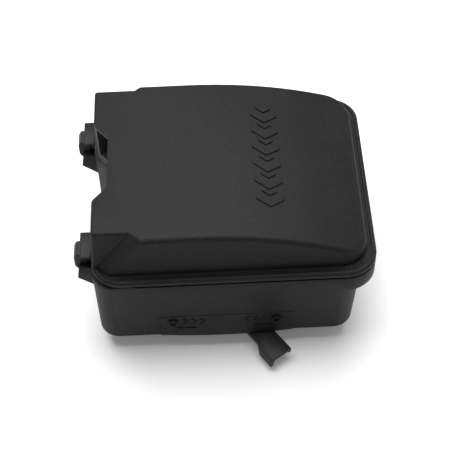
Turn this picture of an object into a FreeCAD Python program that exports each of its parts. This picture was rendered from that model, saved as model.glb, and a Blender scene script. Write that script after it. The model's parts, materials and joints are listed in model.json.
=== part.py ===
"""Low-profile air filter housing for a small engine.

Every piece is drawn about the middle of the seam between base and cover: X to the right,
Y to the back, Z up, with z = 0 on the seam. Each finished piece is then placed so that the
origin lies on the axis of the carburettor port, at the face of its gasket.
"""
import FreeCAD
import Part
import Sketcher
import math
import os
from FreeCAD import Placement, Rotation, Vector

DIMENSIONS = {
    # seam flange and the rim band of the base
    "flange_x": 150.0, "flange_y": 126.0, "flange_thick": 3.6, "flange_round": 1.7,
    "flange_low_round": 0.9, "ledge_thick": 2.7, "bead_width": 2.6, "bead_inner_round": 0.7,
    "flange_corner_right": 16.6, "flange_corner_left": 15.7, "seam_gap": 0.7,
    "band_depth": 11.0, "band_end_x": -51.0, "band_taper_x": -42.0, "band_end_depth": 5.8,
    "band_taper_step": 0.4,
    # cover
    "cover_height": 30.0, "cover_wall": 2.3, "cover_plate": 2.3, "roof_flat_to_x": -20.0,
    "roof_radius": 205.0, "roof_edge_round": 3.0, "dome_foot_right": 70.3,
    "dome_top_right": 68.0, "dome_front_foot": 57.2, "dome_front_top": 56.2,
    "dome_back_foot": 57.5, "dome_back_top": 53.1, "dome_foot_left": -73.0,
    "dome_top_left": -51.5, "dome_corner": 14.0, "ramp_facet": 5.5, "snout_left": -74.7,
    "snout_top_left": -72.5, "snout_y": 51.6, "snout_top_y": 50.4, "snout_right": -36.0,
    "snout_round": 1.6, "shell_overlap": 2.0,
    # slanted recess down the left side of both shells
    "recess_x": -64.7, "recess_back": 17.6, "recess_front": -19.3, "recess_slope": 1.17,
    "recess_reach": 84.0,
    # base
    "base_depth": 48.4, "base_wall": 2.5, "floor_thick": 3.0, "base_left": -74.7,
    "base_right_top": 67.0, "base_right_low": 64.1, "base_y_top": 62.5, "base_y_low": 61.2,
    "base_corner": 11.0, "base_low_round": 1.0, "panel_left": -41.5, "panel_right": 31.0,
    "panel_top": -31.0, "panel_bow": 1.6, "panel_bow_top": 0.25, "panel_root": 1.5,
    # seal, its shelf and the locating lip of the cover
    "seal_outer": 3.3, "seal_inner": 6.3, "seal_height": 2.5, "seal_play": 0.05,
    "shelf_inner": 6.4, "shelf_thick": 3.0, "lip_outer": 6.8, "lip_inner": 8.5,
    "lip_depth": 4.0,
    # carburettor boss and port
    "port_x": -6.0, "port_radius": 14.0, "boss_depth": 9.1, "boss_half_x": 30.0,
    "boss_half_y": 19.0, "boss_corner": 8.0, "gasket_thick": 1.5, "stud_spacing": 42.0,
    "stud_hole": 3.2, "collar_radius": 5.0, "clamp_thick": 2.0, "clamp_port": 17.0,
    "clamp_corner": 4.0, "clamp_screw_x": 25.0, "clamp_screw_y": 14.0,
    # bracket hole with grommet, feet and breather nipple
    "bracket_x": 50.0, "bracket_y": 30.0, "bracket_boss": 11.0, "grommet_radius": 8.0,
    "grommet_flange": 10.0, "bracket_collar": 5.0, "bracket_hole": 3.25, "foot_radius": 6.0,
    "foot_left_x": -56.0, "foot_right_x": 52.0, "foot_y": 36.0, "nipple_x": -50.0,
    "nipple_y": 30.0, "nipple_radius": 4.75, "nipple_root": 5.6, "nipple_head": 6.8,
    "nipple_bore": 3.0, "inner_flange": 2.0, "inner_flange_round": 0.6,
    # filter tray, foams, retainer and their posts
    "post_left": -50.5, "post_right": 54.5, "post_y": 47.0, "post_low": 6.0, "post_high": 4.0,
    "tray_left": -56.5, "tray_right": 60.0, "tray_y": 54.0, "tray_z": -30.0, "grid_thick": 2.0,
    "tray_corner": 6.0, "tray_wall": 1.5, "tray_wall_left": -45.5, "tray_wall_right": 49.5,
    "tray_wall_top": -8.0, "foam_split": -14.0, "foam_gap": 0.1, "retainer_z": -6.5,
    "grid_slot": 8.0, "grid_pitch": 11.0, "grid_slot_length": 46.0, "grid_edge": 6.0,
    "grid_spine": 2.0, "post_play": 0.3,
    # clips, their hinge brackets on the base and their lugs on the cover
    "clip_y": 39.4, "clip_width": 16.0, "clip_waist": 10.0, "hinge_x": -78.4, "hinge_z": -6.2,
    "pin_radius": 1.5, "pin_play": 0.05, "pin_head": 2.2, "pin_head_thick": 0.8,
    "pin_blind": 1.0, "eye_radius": 3.2, "cheek_gap": 0.3, "bracket_top": -2.2,
    "bracket_outer": -81.8, "bracket_low_outer": -83.2, "bracket_low": -10.2,
    "bracket_root": -17.5, "clip_outer": -80.6, "clip_inner": -77.4, "arm_inner": -74.6,
    "arm_low": 6.6, "arm_top": 8.0, "hook_inner": -75.0, "hook_low": 3.05, "hook_high": 5.45,
    "pad_outer": -84.2, "pad_low": -6.4, "pad_high": 5.2, "pad_soft": 0.8, "lug_outer": -77.0,
    "lug_root": -73.5, "lug_low": 0.2, "lug_shoulder": 2.7, "lug_slope": 2.3,
    # choke lever, the boss that it turns on and its shoulder screw
    "pivot_x": -3.4, "pivot_y": -37.5, "pivot_boss": 6.5, "pivot_boss_height": 6.0,
    "pivot_bore": 2.5, "lever_angle": 35.0, "lever_half": 6.25, "lever_length": 48.0,
    "lever_thick": 2.0, "lever_drop": 0.4, "shoulder_radius": 4.0, "shoulder_play": 0.05,
    "fork_half": 4.6, "fork_slot": 2.0, "fork_end": 13.0, "fork_root": 8.0,
    "rail_thick": 1.7, "rail_from": 34.1, "rail_low_from": 37.8, "rail_flare": 1.7,
    "rail_left": 5.9, "rail_right": 3.4, "pivot_head": 6.5, "washer_radius": 7.6,
    # intake snorkel
    "duct_width": 12.0, "duct_low": 4.8, "duct_high": 27.3, "duct_wall": 1.2,
    "duct_length": 16.0, "duct_nose": 0.3, "duct_ear": 14.0, "duct_ear_from": 6.0,
    "duct_play": 0.15, "ear_hole_x": 15.5, "ear_hole_y": 2.4, "ear_hole": 1.6,
    "window_inward": 3.25, "window_along": 3.8,
    # self-tapping screws
    "screw_thread": 1.5, "screw_play": 0.2, "screw_head": 3.0, "screw_head_thick": 1.6,
    "screw_depth": 9.0,
}

UP = Vector(0, 0, 1)
BACK = Vector(0, 1, 0)
RIGHT = Vector(1, 0, 0)
TO_XZ = Rotation(Vector(1, 0, 0), 90)
TO_YZ = Rotation(Vector(1, 1, 1), 120)

doc = FreeCAD.newDocument("AirFilterHousing")
sheet = doc.addObject("Spreadsheet::Sheet", "Dimensions")
for row, (alias, number) in enumerate(DIMENSIONS.items(), start=1):
    sheet.set(f"A{row}", alias)
    sheet.set(f"B{row}", str(number))
    sheet.setAlias(f"B{row}", alias)
doc.recompute()


class Size:
    """A length that knows its value and the spreadsheet expression behind it."""

    def __init__(self, text, value):
        self.text = text
        self.value = value

    def __add__(self, other):
        other = size(other)
        return Size(f"({self.text} + {other.text})", self.value + other.value)

    def __sub__(self, other):
        other = size(other)
        return Size(f"({self.text} - {other.text})", self.value - other.value)

    def __mul__(self, other):
        other = size(other)
        return Size(f"({self.text} * {other.text})", self.value * other.value)

    def __truediv__(self, other):
        other = size(other)
        return Size(f"({self.text} / {other.text})", self.value / other.value)

    def __neg__(self):
        return Size(f"(-1 * {self.text})", -self.value)


def size(number):
    return number if isinstance(number, Size) else Size(repr(float(number)), float(number))


class Cells:
    """Gives each cell of the sheet as a Size."""

    def __getattr__(self, alias):
        return Size(f"Dimensions.{alias}", DIMENSIONS[alias])


d = Cells()
SEAM_TO_GASKET = d.base_depth + d.boss_depth + d.gasket_thick
FLOOR = -d.base_depth
FLOOR_TOP = FLOOR + d.floor_thick
BOSS_LOW = FLOOR - d.boss_depth
GASKET_LOW = BOSS_LOW - d.gasket_thick
finished = {}


def bind(item, field, length):
    length = size(length)
    item.setExpression(field, length.text)


def place(item, x=0.0, y=0.0, z=0.0):
    for axis, length in (("x", x), ("y", y), ("z", z)):
        bind(item, f"Placement.Base.{axis}", length)
    return item


def finish(item, name):
    """Names a finished piece and sets it where it belongs on the engine."""
    item.Label = name
    place(item, -d.port_x, 0.0, SEAM_TO_GASKET)
    finished[name] = item
    return item


# ---------------------------------------------------------------- sketches and solids

def draw(sketch, corners):
    """A closed outline through the corners (x, y, radius), rounded where a radius is given."""
    corners = [(size(c[0]), size(c[1]), size(c[2]) if len(c) > 2 else None) for c in corners]
    points = [Vector(x.value, y.value, 0) for x, y, _ in corners]
    count = len(corners)
    ends = []
    for i, (_, _, radius) in enumerate(corners):
        corner = points[i]
        before = (points[i - 1] - corner).normalize()
        after = (points[(i + 1) % count] - corner).normalize()
        if radius is None:
            ends.append((corner, corner, None))
            continue
        half = before.getAngle(after) / 2
        reach = radius.value / math.tan(half)
        middle = (before + after).normalize()
        centre = corner + middle * (radius.value / math.sin(half))
        arc = Part.Arc(corner + before * reach, centre - middle * radius.value,
                       corner + after * reach)
        ends.append((corner + before * reach, corner + after * reach, arc))
    lines = []
    for i in range(count):
        line = Part.LineSegment(ends[i][1], ends[(i + 1) % count][0])
        lines.append(sketch.addGeometry(line, False))

    def fix(geometry, position, length, kind):
        index = sketch.addConstraint(
            Sketcher.Constraint(kind, -1, 1, geometry, position, length.value))
        sketch.setExpression(f"Constraints[{index}]", length.text)

    for i, (x, y, radius) in enumerate(corners):
        incoming, outgoing = lines[i - 1], lines[i]
        if radius is None:
            sketch.addConstraint(Sketcher.Constraint("Coincident", incoming, 2, outgoing, 1))
            fix(outgoing, 1, x, "DistanceX")
            fix(outgoing, 1, y, "DistanceY")
            continue
        arc = sketch.addGeometry(ends[i][2], False)
        forward = (sketch.getPoint(arc, 1) - ends[i][0]).Length < 1e-6
        first, last = (1, 2) if forward else (2, 1)
        sketch.addConstraint(Sketcher.Constraint("Tangent", incoming, 2, arc, first))
        sketch.addConstraint(Sketcher.Constraint("Tangent", arc, last, outgoing, 1))
        index = sketch.addConstraint(Sketcher.Constraint("Radius", arc, radius.value))
        sketch.setExpression(f"Constraints[{index}]", radius.text)
        mark = sketch.addGeometry(Part.Point(points[i]), True)
        fix(mark, 1, x, "DistanceX")
        fix(mark, 1, y, "DistanceY")
        sketch.addConstraint(Sketcher.Constraint("PointOnObject", mark, 1, incoming))
        sketch.addConstraint(Sketcher.Constraint("PointOnObject", mark, 1, outgoing))
    return sketch


def circle(sketch, x, y, radius):
    x, y, radius = size(x), size(y), size(radius)
    ring = sketch.addGeometry(Part.Circle(Vector(x.value, y.value, 0), UP, radius.value), False)
    for kind, length in (("DistanceX", x), ("DistanceY", y)):
        index = sketch.addConstraint(Sketcher.Constraint(kind, -1, 1, ring, 3, length.value))
        sketch.setExpression(f"Constraints[{index}]", length.text)
    index = sketch.addConstraint(Sketcher.Constraint("Radius", ring, radius.value))
    sketch.setExpression(f"Constraints[{index}]", radius.text)
    return sketch


def plan(name, corners, z=0.0):
    """A horizontal outline at height z."""
    sketch = doc.addObject("Sketcher::SketchObject", name)
    bind(sketch, "Placement.Base.z", z)
    return draw(sketch, corners)


def side(name, corners, y=0.0):
    """An upright outline of (x, z) corners in the plane at y."""
    sketch = doc.addObject("Sketcher::SketchObject", name)
    sketch.Placement = Placement(Vector(), TO_XZ)
    bind(sketch, "Placement.Base.y", y)
    return draw(sketch, corners)


def box_corners(left, right, front, back, radius=None):
    rounding = () if radius is None else (radius,)
    return [(left, front, *rounding), (right, front, *rounding), (right, back, *rounding),
            (left, back, *rounding)]


def raised(name, profile, length, z=0.0, direction=UP):
    """The solid swept by a profile along a straight line."""
    solid = doc.addObject("Part::Extrusion", name)
    solid.Base = profile
    solid.DirMode = "Custom"
    solid.Dir = direction
    solid.Solid = True
    bind(solid, "LengthFwd", length)
    bind(solid, "Placement.Base.z", z)
    return solid


def lofted(name, low, high):
    solid = doc.addObject("Part::Loft", name)
    solid.Sections = [low, high]
    solid.Solid = True
    solid.Ruled = True
    return solid


def inset(name, outline, distance):
    """The outline moved inwards by a distance."""
    offset = doc.addObject("Part::Offset2D", name)
    offset.Source = outline
    offset.Join = "Intersection"
    bind(offset, "Value", -size(distance))
    return offset


def block(name, x, y, z, length, width, height):
    solid = doc.addObject("Part::Box", name)
    bind(solid, "Length", length)
    bind(solid, "Width", width)
    bind(solid, "Height", height)
    return place(solid, x, y, z)


def rod(name, x, y, z, radius, height):
    solid = doc.addObject("Part::Cylinder", name)
    bind(solid, "Radius", radius)
    bind(solid, "Height", height)
    return place(solid, x, y, z)


def cross_rod(name, x, y, z, radius, length):
    """A cylinder along +Y from y."""
    solid = doc.addObject("Part::Cylinder", name)
    bind(solid, "Radius", radius)
    bind(solid, "Height", length)
    solid.Placement = Placement(Vector(), Rotation(Vector(1, 0, 0), -90))
    return place(solid, x, y, z)


def joined(name, *solids):
    whole = doc.addObject("Part::MultiFuse", name)
    whole.Shapes = list(solids)
    return whole


def cut(name, body, *tools):
    result = doc.addObject("Part::Cut", name)
    result.Base = body
    result.Tool = tools[0] if len(tools) == 1 else joined(f"{name}Tools", *tools)
    return result


def rounded(name, solid, radius, chosen):
    """Rounds the edges that chosen(edge) picks."""
    doc.recompute()
    result = doc.addObject("Part::Fillet", name)
    result.Base = solid
    edges = solid.Shape.Edges
    picked = [i for i, edge in enumerate(edges, start=1) if chosen(edge)]
    result.Edges = [(i, size(radius).value, size(radius).value) for i in picked]
    return result


def lies_at(edge, height):
    bounds = edge.BoundBox
    return abs(bounds.ZMin - height) < 1e-4 and abs(bounds.ZMax - height) < 1e-4


# ---------------------------------------------------------------- shared outlines

HALF_X = d.flange_x / 2
HALF_Y = d.flange_y / 2


def recess_corners(offset=0.0):
    """Plan of the slanted recess; offset moves its walls into the housing."""
    offset = size(offset)
    slant = math.sqrt(1 + d.recess_slope.value ** 2)
    deep = d.recess_x + offset
    along = offset * (slant - d.recess_slope.value)
    back, front = d.recess_back + along, d.recess_front - along
    run = (deep + d.recess_reach) * d.recess_slope
    return [(-d.recess_reach, front - run), (deep, front), (deep, back),
            (-d.recess_reach, back + run)]


def rim_corners():
    """Seam outline with the recess cut out of its left side."""
    (_, low), (deep, front), (_, back), _ = recess_corners()
    run = (deep + HALF_X) * d.recess_slope
    right, left = d.flange_corner_right, d.flange_corner_left
    return [(-HALF_X, -HALF_Y, left), (HALF_X, -HALF_Y, right), (HALF_X, HALF_Y, right),
            (-HALF_X, HALF_Y, left), (-HALF_X, back + run), (deep, back), (deep, front),
            (-HALF_X, front - run)]


rim = plan("RimOutline", rim_corners())
rim_at = {name: inset(f"Rim{name.title()}", rim, getattr(d, name))
          for name in ("seal_outer", "seal_inner", "shelf_inner", "lip_outer", "lip_inner")}


# ---------------------------------------------------------------- cover

def drafted(name, cross, lengthwise):
    """What two upright profiles share: one of (y, z) corners and one of (x, z) corners."""
    sketch = doc.addObject("Sketcher::SketchObject", f"{name}Cross")
    sketch.Placement = Placement(Vector(-HALF_X.value - 10, 0, 0), TO_YZ)
    draw(sketch, cross)
    shared = doc.addObject("Part::MultiCommon", name)
    shared.Shapes = [
        raised(f"{name}Through", sketch, d.flange_x + 20, direction=RIGHT),
        raised(f"{name}Across", side(f"{name}Length", lengthwise, -HALF_Y - 10),
               d.flange_y + 20, direction=BACK)]
    return shared


def dome_blank(name, shrink, foot):
    """The dome before its roof is cut: drafted walls and a long ramp at its left end."""
    shrink = size(shrink)
    over = d.cover_height + 2
    front, back = d.dome_front_foot - shrink, d.dome_back_foot - shrink
    front_top, back_top = d.dome_front_top - shrink, d.dome_back_top - shrink
    return drafted(name, [(-front, foot), (back, foot), (back_top, over), (-front_top, over)],
                   [(d.dome_foot_left + shrink, foot), (d.dome_foot_right - shrink, foot),
                    (d.dome_top_right - shrink, over), (d.dome_top_left + shrink, over)])


def snout_blank(name, shrink, foot):
    """The full-height left end of the cover."""
    shrink = size(shrink)
    top = d.cover_height - shrink
    low_y, high_y = d.snout_y - shrink, d.snout_top_y - shrink
    return drafted(name, [(-low_y, foot), (low_y, foot), (high_y, top), (-high_y, top)],
                   [(d.snout_left + shrink, foot), (d.snout_right, foot), (d.snout_right, top),
                    (d.snout_top_left + shrink, top)])


def roof_height(x):
    """Height of the outer roof over x."""
    run = max(x - d.roof_flat_to_x.value, 0.0)
    radius = d.roof_radius.value
    return d.cover_height.value - radius + math.sqrt(radius ** 2 - run ** 2)


def is_ramp_corner(edge):
    bounds = edge.BoundBox
    return bounds.XLength > 8 and bounds.ZLength > 8 and abs(bounds.Center.y) > 50


def is_right_corner(edge):
    bounds = edge.BoundBox
    return bounds.XMin > 60 and bounds.ZLength > 4 and bounds.YLength < 10


def is_roof_edge(edge):
    """Edges around the roof of the dome, except across it and along its slanted left end."""
    first, last = edge.FirstParameter, edge.LastParameter
    points = [edge.valueAt(first + (last - first) * share) for share in (0.0, 0.5, 1.0)]
    on_roof = all(abs(point.z - roof_height(point.x)) < 0.02 for point in points)
    return on_roof and (edge.BoundBox.XLength > 6 or edge.BoundBox.XMin > 50)


def rounded_dome(name, shrink, foot, roof_round):
    """The dome under its roof, with its corners rounded."""
    blank = dome_blank(f"{name}Blank", shrink, foot)
    corners = rounded(f"{name}Corners", blank, d.dome_corner - shrink, is_right_corner)
    doc.recompute()
    ramp = doc.addObject("Part::Chamfer", f"{name}Ramp")
    ramp.Base = corners
    ramp.Edges = [(i, d.ramp_facet.value, d.ramp_facet.value)
                  for i, edge in enumerate(corners.Shape.Edges, start=1)
                  if is_ramp_corner(edge)]
    dome = cut(f"{name}UnderRoof", ramp, roof_cutter(f"{name}Roof", shrink))
    if not roof_round:
        return dome
    return rounded(f"{name}Rounded", dome, d.roof_edge_round, is_roof_edge)


def roof_cutter(name, shrink):
    """Everything above the roof: flat on the left, then a long downward arc."""
    shrink = size(shrink)
    sketch = doc.addObject("Sketcher::SketchObject", f"{name}Line")
    sketch.Placement = Placement(Vector(), TO_XZ)
    bind(sketch, "Placement.Base.y", -HALF_Y - 10)
    radius = d.roof_radius - shrink
    top = d.cover_height - shrink
    reach = 100.0
    start = d.roof_flat_to_x
    drop = radius.value - math.sqrt(radius.value ** 2 - (reach - start.value) ** 2)
    centre = Vector(start.value, top.value - radius.value, 0)
    left, high = -90.0, 60.0
    begin = Vector(start.value, top.value, 0)
    stop = Vector(reach, top.value - drop, 0)
    half = math.asin((reach - start.value) / radius.value) / 2
    crest = centre + Vector(math.sin(half), math.cos(half), 0) * radius.value
    points = [Vector(left, top.value, 0), begin, stop, Vector(reach, high, 0),
              Vector(left, high, 0)]
    sketch.addGeometry(Part.LineSegment(points[0], points[1]), False)
    sketch.addGeometry(Part.Arc(points[1], crest, points[2]), False)
    for first, last in ((2, 3), (3, 4), (4, 0)):
        sketch.addGeometry(Part.LineSegment(points[first], points[last]), False)
    arc_start = 1 if (sketch.getPoint(1, 1) - begin).Length < 1e-6 else 2
    arc_stop = 3 - arc_start
    for link in (("Tangent", 0, 2, 1, arc_start), ("Coincident", 1, arc_stop, 2, 1),
                 ("Coincident", 2, 2, 3, 1), ("Coincident", 3, 2, 4, 1),
                 ("Coincident", 4, 2, 0, 1), ("Horizontal", 0), ("Vertical", 2),
                 ("Horizontal", 3), ("Vertical", 4)):
        sketch.addConstraint(Sketcher.Constraint(*link))
    for kind, item, length in (("DistanceX", (0, 1), size(left)), ("DistanceY", (0, 1), top),
                               ("DistanceX", (0, 2), start), ("DistanceX", (2, 1), size(reach)),
                               ("DistanceY", (3, 1), size(high))):
        index = sketch.addConstraint(Sketcher.Constraint(kind, -1, 1, *item, length.value))
        sketch.setExpression(f"Constraints[{index}]", length.text)
    index = sketch.addConstraint(Sketcher.Constraint("Radius", 1, radius.value))
    sketch.setExpression(f"Constraints[{index}]", radius.text)
    return raised(name, sketch, d.flange_y + 20, direction=BACK)


def flange_with_bead():
    """The cover's seam flange: a flat ledge with a round bead along its outer edge."""
    outline = plan("FlangeOutline", [
        (-HALF_X, -HALF_Y, d.flange_corner_left), (HALF_X, -HALF_Y, d.flange_corner_right),
        (HALF_X, HALF_Y, d.flange_corner_right), (-HALF_X, HALF_Y, d.flange_corner_left)])
    blank = raised("FlangeBlank", outline, d.flange_thick)
    top_round = rounded("FlangeTop", blank, d.flange_round,
                        lambda edge: lies_at(edge, d.flange_thick.value))
    outer_round = rounded("FlangeLow", top_round, d.flange_low_round,
                          lambda edge: lies_at(edge, 0.0))
    tray = raised("FlangeLedge", inset("BeadInside", outline, d.bead_width), 5, d.ledge_thick)
    hollow = cut("FlangeHollow", outer_round, tray)

    def inner_edge(edge):
        inside = edge.BoundBox.YMax < HALF_Y.value - 2 or edge.BoundBox.YMin > 2 - HALF_Y.value
        reach = max(abs(edge.BoundBox.YMax), abs(edge.BoundBox.YMin))
        beside = reach < HALF_Y.value - d.bead_width.value + 0.01
        return lies_at(edge, d.flange_thick.value) and inside and beside

    return rounded("FlangeBead", hollow, d.bead_inner_round, inner_edge)


def make_cover():
    dome_round = rounded_dome("Dome", 0, d.flange_thick - d.shell_overlap, True)
    left_top = d.snout_top_left.value

    def snout_edge(edge):
        at_left = edge.BoundBox.XMax < left_top + 0.5
        along_top = lies_at(edge, d.cover_height.value)
        at_right = edge.BoundBox.XMin > d.snout_right.value - 1
        at_foot = edge.BoundBox.ZMax < 6
        return (at_left or along_top) and not at_right and not at_foot

    snout_round = rounded("SnoutRounded", snout_blank(
        "Snout", 0, d.flange_thick - d.shell_overlap), d.snout_round, snout_edge)
    flange_round = flange_with_bead()
    outside = joined("CoverOutside", dome_round, snout_round, flange_round)
    recess = raised("CoverRecess", plan("CoverRecessPlan", recess_corners()), 60, -10)
    inside = cut("CoverInside", joined(
        "CoverInsideBlank", rounded_dome("Inner", d.cover_wall, d.cover_plate, False),
        snout_blank("InnerSnout", d.cover_wall, d.cover_plate)),
        raised("InnerRecess", plan("InnerRecessPlan", recess_corners(d.cover_wall)), 60, -10))
    mouth = raised("CoverMouth", rim_at["lip_inner"], 20, -10)
    low_mouth = cut("CoverMouthLow", mouth, block("MouthTop", -100, -100, d.cover_plate + 0.1,
                                                  200, 200, 50))
    lip = cut("CoverLip", raised("LipOuter", rim_at["lip_outer"], d.lip_depth + 0.5,
                                 -d.lip_depth),
              raised("LipInner", rim_at["lip_inner"], 20, -10))
    play = d.duct_play
    window = block("IntakeWindow", -d.duct_nose - play, -d.duct_width / 2 - play,
                   d.duct_low - play, 9,
                   d.duct_width + play * 2, d.duct_high - d.duct_low + play * 2)
    shell = cut("CoverHollow", outside, recess, inside, low_mouth, at_window(window))
    lug_top = d.lug_shoulder + d.lug_slope
    lugs = [raised(f"ClipLug{i}", side(f"ClipLugProfile{i}", [
        (d.lug_root, d.lug_low), (d.lug_outer, d.lug_low), (d.lug_outer, d.lug_shoulder),
        (d.lug_outer + d.lug_slope, lug_top), (d.lug_root, lug_top)],
        d.clip_y * sign - d.clip_waist / 2), d.clip_waist, direction=BACK)
        for i, sign in enumerate((-1, 1))]
    finish(joined("Cover", shell, lip, *lugs), "cover_shell")


DUCT_ANGLE = math.degrees(math.atan(1 / d.recess_slope.value))
DUCT_CENTRE = (d.recess_x - d.window_inward, d.recess_back + d.window_along)


def at_window(solid):
    """Turns a piece drawn about the origin to face out of the recess's back wall."""
    moved = doc.addObject("Part::Compound", f"{solid.Name}Placed")
    moved.Links = [solid]
    moved.Placement = Placement(Vector(), Rotation(UP, DUCT_ANGLE))
    return place(moved, *DUCT_CENTRE)


# ---------------------------------------------------------------- base

def base_corners(right, y):
    """Plan of the base body, with the recess in its left side."""
    deep, back, front = d.recess_x, d.recess_back, d.recess_front
    run = (deep - d.base_left) * d.recess_slope
    left, corner = d.base_left, d.base_corner
    return [(left, -y, corner), (right, -y, corner), (right, y, corner), (left, y, corner),
            (left, back + run), (deep, back), (deep, front), (left, front - run)]


def bowed_panel():
    """The label panel on the front wall, bowed outwards most along its lower edge."""
    sections = []
    for name, z, bow, y in (("Low", FLOOR + 0.01, d.panel_bow, d.base_y_low),
                            ("High", d.panel_top, d.panel_bow_top, d.base_y_low + 0.25)):
        sketch = doc.addObject("Sketcher::SketchObject", f"Panel{name}")
        bind(sketch, "Placement.Base.z", z)
        inner = -y + d.panel_root
        ends = [(d.panel_left, -y), (d.panel_right, -y), (d.panel_right, inner),
                (d.panel_left, inner)]
        points = [Vector(x.value, end.value, 0) for x, end in ends]
        middle = (d.panel_left + d.panel_right) / 2
        crest = Vector(middle.value, -(y + bow).value, 0)
        sketch.addGeometry(Part.Arc(points[0], crest, points[1]), False)
        for first, last in ((1, 2), (2, 3), (3, 0)):
            sketch.addGeometry(Part.LineSegment(points[first], points[last]), False)
        left_end = 1 if (sketch.getPoint(0, 1) - points[0]).Length < 1e-6 else 2
        for link in ((0, 3 - left_end, 1, 1), (1, 2, 2, 1), (2, 2, 3, 1), (3, 2, 0, left_end)):
            sketch.addConstraint(Sketcher.Constraint("Coincident", *link))
        for geometry, (x, end) in ((1, ends[1]), (2, ends[2]), (3, ends[3])):
            for kind, length in (("DistanceX", x), ("DistanceY", end)):
                index = sketch.addConstraint(
                    Sketcher.Constraint(kind, -1, 1, geometry, 1, length.value))
                sketch.setExpression(f"Constraints[{index}]", length.text)
        for kind, length in (("DistanceX", ends[0][0]), ("DistanceY", ends[0][1])):
            index = sketch.addConstraint(
                Sketcher.Constraint(kind, -1, 1, 0, left_end, length.value))
            sketch.setExpression(f"Constraints[{index}]", length.text)
        half = (d.panel_right - d.panel_left) / 2
        radius = (half * half + bow * bow) / (bow * 2)
        index = sketch.addConstraint(Sketcher.Constraint("Radius", 0, radius.value))
        sketch.setExpression(f"Constraints[{index}]", radius.text)
        sections.append(sketch)
    return lofted("LabelPanel", *sections)


def clip_bracket(i, sign):
    """Two cheeks on the left wall that hold one clip's hinge pin."""
    cheeks = []
    inner = d.clip_waist / 2 + d.cheek_gap
    thick = d.clip_width / 2 - inner
    for side_name, y in (("A", d.clip_y * sign - d.clip_width / 2),
                         ("B", d.clip_y * sign + inner)):
        outline = side(f"CheekProfile{i}{side_name}", [
            (d.base_left + d.base_wall / 2, d.bracket_top),
            (d.base_left + d.base_wall / 2, d.bracket_root - 1),
            (d.base_left, d.bracket_root), (d.bracket_low_outer, d.bracket_low, 1.0),
            (d.bracket_outer, d.bracket_top, 1.0)], y)
        cheeks.append(raised(f"Cheek{i}{side_name}", outline, thick, direction=BACK))
    return cheeks


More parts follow.
